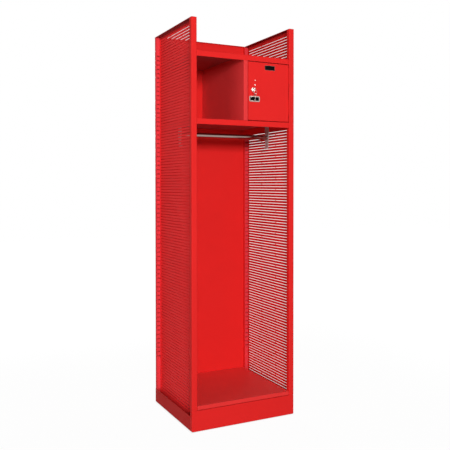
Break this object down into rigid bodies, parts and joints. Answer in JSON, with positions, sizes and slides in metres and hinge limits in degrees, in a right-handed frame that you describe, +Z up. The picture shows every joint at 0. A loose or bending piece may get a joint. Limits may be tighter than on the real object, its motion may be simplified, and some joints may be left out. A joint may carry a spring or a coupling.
{
  "type": "gear locker",
  "caption": "Tall open-front red steel gear locker with slotted side frames, shelves, a coat rod and a small lockable box with a hinged door.",
  "frame": {"origin": "centre of the overall box on the floor, under the middle of the locker", "axes": "+X to the right as seen from the front, +Y to the rear, +Z up; the open front faces -Y"},
  "size_m": [0.6096, 0.5903, 2.1336],
  "materials": {
    "red_paint": "satin red powder coat",
    "chrome": "bright chrome plate",
    "zinc_steel": "dull zinc plate",
    "black_plastic": "matte black moulding",
    "black_rubber": "plain moulded rubber"
  },
  "bodies": {
    "frame": {"left_front_post": "red_paint", "left_rear_post": "red_paint", "left_top_rail": "red_paint", "left_bottom_rail": "red_paint", "left_vent_sheet": "red_paint", "left_slot_strip": "red_paint", "right_front_post": "red_paint", "right_rear_post": "red_paint", "right_top_rail": "red_paint", "right_bottom_rail": "red_paint", "right_vent_sheet": "red_paint", "right_slot_strip": "red_paint", "kick_plate": "red_paint", "floor_pan": "red_paint", "back_panel": "red_paint", "lower_shelf": "red_paint", "upper_shelf": "red_paint", "divider": "red_paint", "coat_rod": "chrome", "left_rod_bracket": "zinc_steel", "left_bracket_bolt": "zinc_steel", "left_floor_bolt": "zinc_steel", "left_lower_shelf_bolt": "zinc_steel", "left_upper_shelf_bolt": "zinc_steel", "right_rod_bracket": "zinc_steel", "right_bracket_bolt": "zinc_steel", "right_floor_bolt": "zinc_steel", "right_lower_shelf_bolt": "zinc_steel", "right_upper_shelf_bolt": "zinc_steel", "upper_hinge_frame_leaf": "red_paint", "lower_hinge_frame_leaf": "red_paint", "upper_hinge_pin": "red_paint", "lower_hinge_pin": "red_paint", "door_sill": "red_paint", "door_stop": "zinc_steel", "door_bumper": "black_rubber"},
    "door": {"door": "red_paint", "upper_hinge_door_leaf": "red_paint", "lower_hinge_door_leaf": "red_paint", "pull_cup": "black_plastic", "pull_bezel": "chrome", "badge_plate": "black_plastic", "lock_housing": "chrome", "lock_nut": "zinc_steel"},
    "lock": {"lock_plug": "chrome", "lock_cam": "zinc_steel", "cam_screw": "zinc_steel", "key": "chrome"},
    "key_ring": {"key_ring": "chrome", "spare_key": "chrome"}
  },
  "joints": [
    {"name": "door_swing", "type": "hinge", "parent": "frame", "child": "door", "pos_m": [0.2722, -0.2674, 1.7774], "axis": [0, 0, 1], "range_deg": [0, 170]},
    {"name": "lock_turn", "type": "hinge", "parent": "door", "child": "lock", "pos_m": [0.051, -0.2667, 1.784], "axis": [0, 1, 0], "range_deg": [0, 90]},
    {"name": "ring_swing", "type": "hinge", "parent": "lock", "child": "key_ring", "pos_m": [0.051, -0.2832, 1.7824], "axis": [1, 0, 0], "range_deg": [-60, 8]}
  ]
}
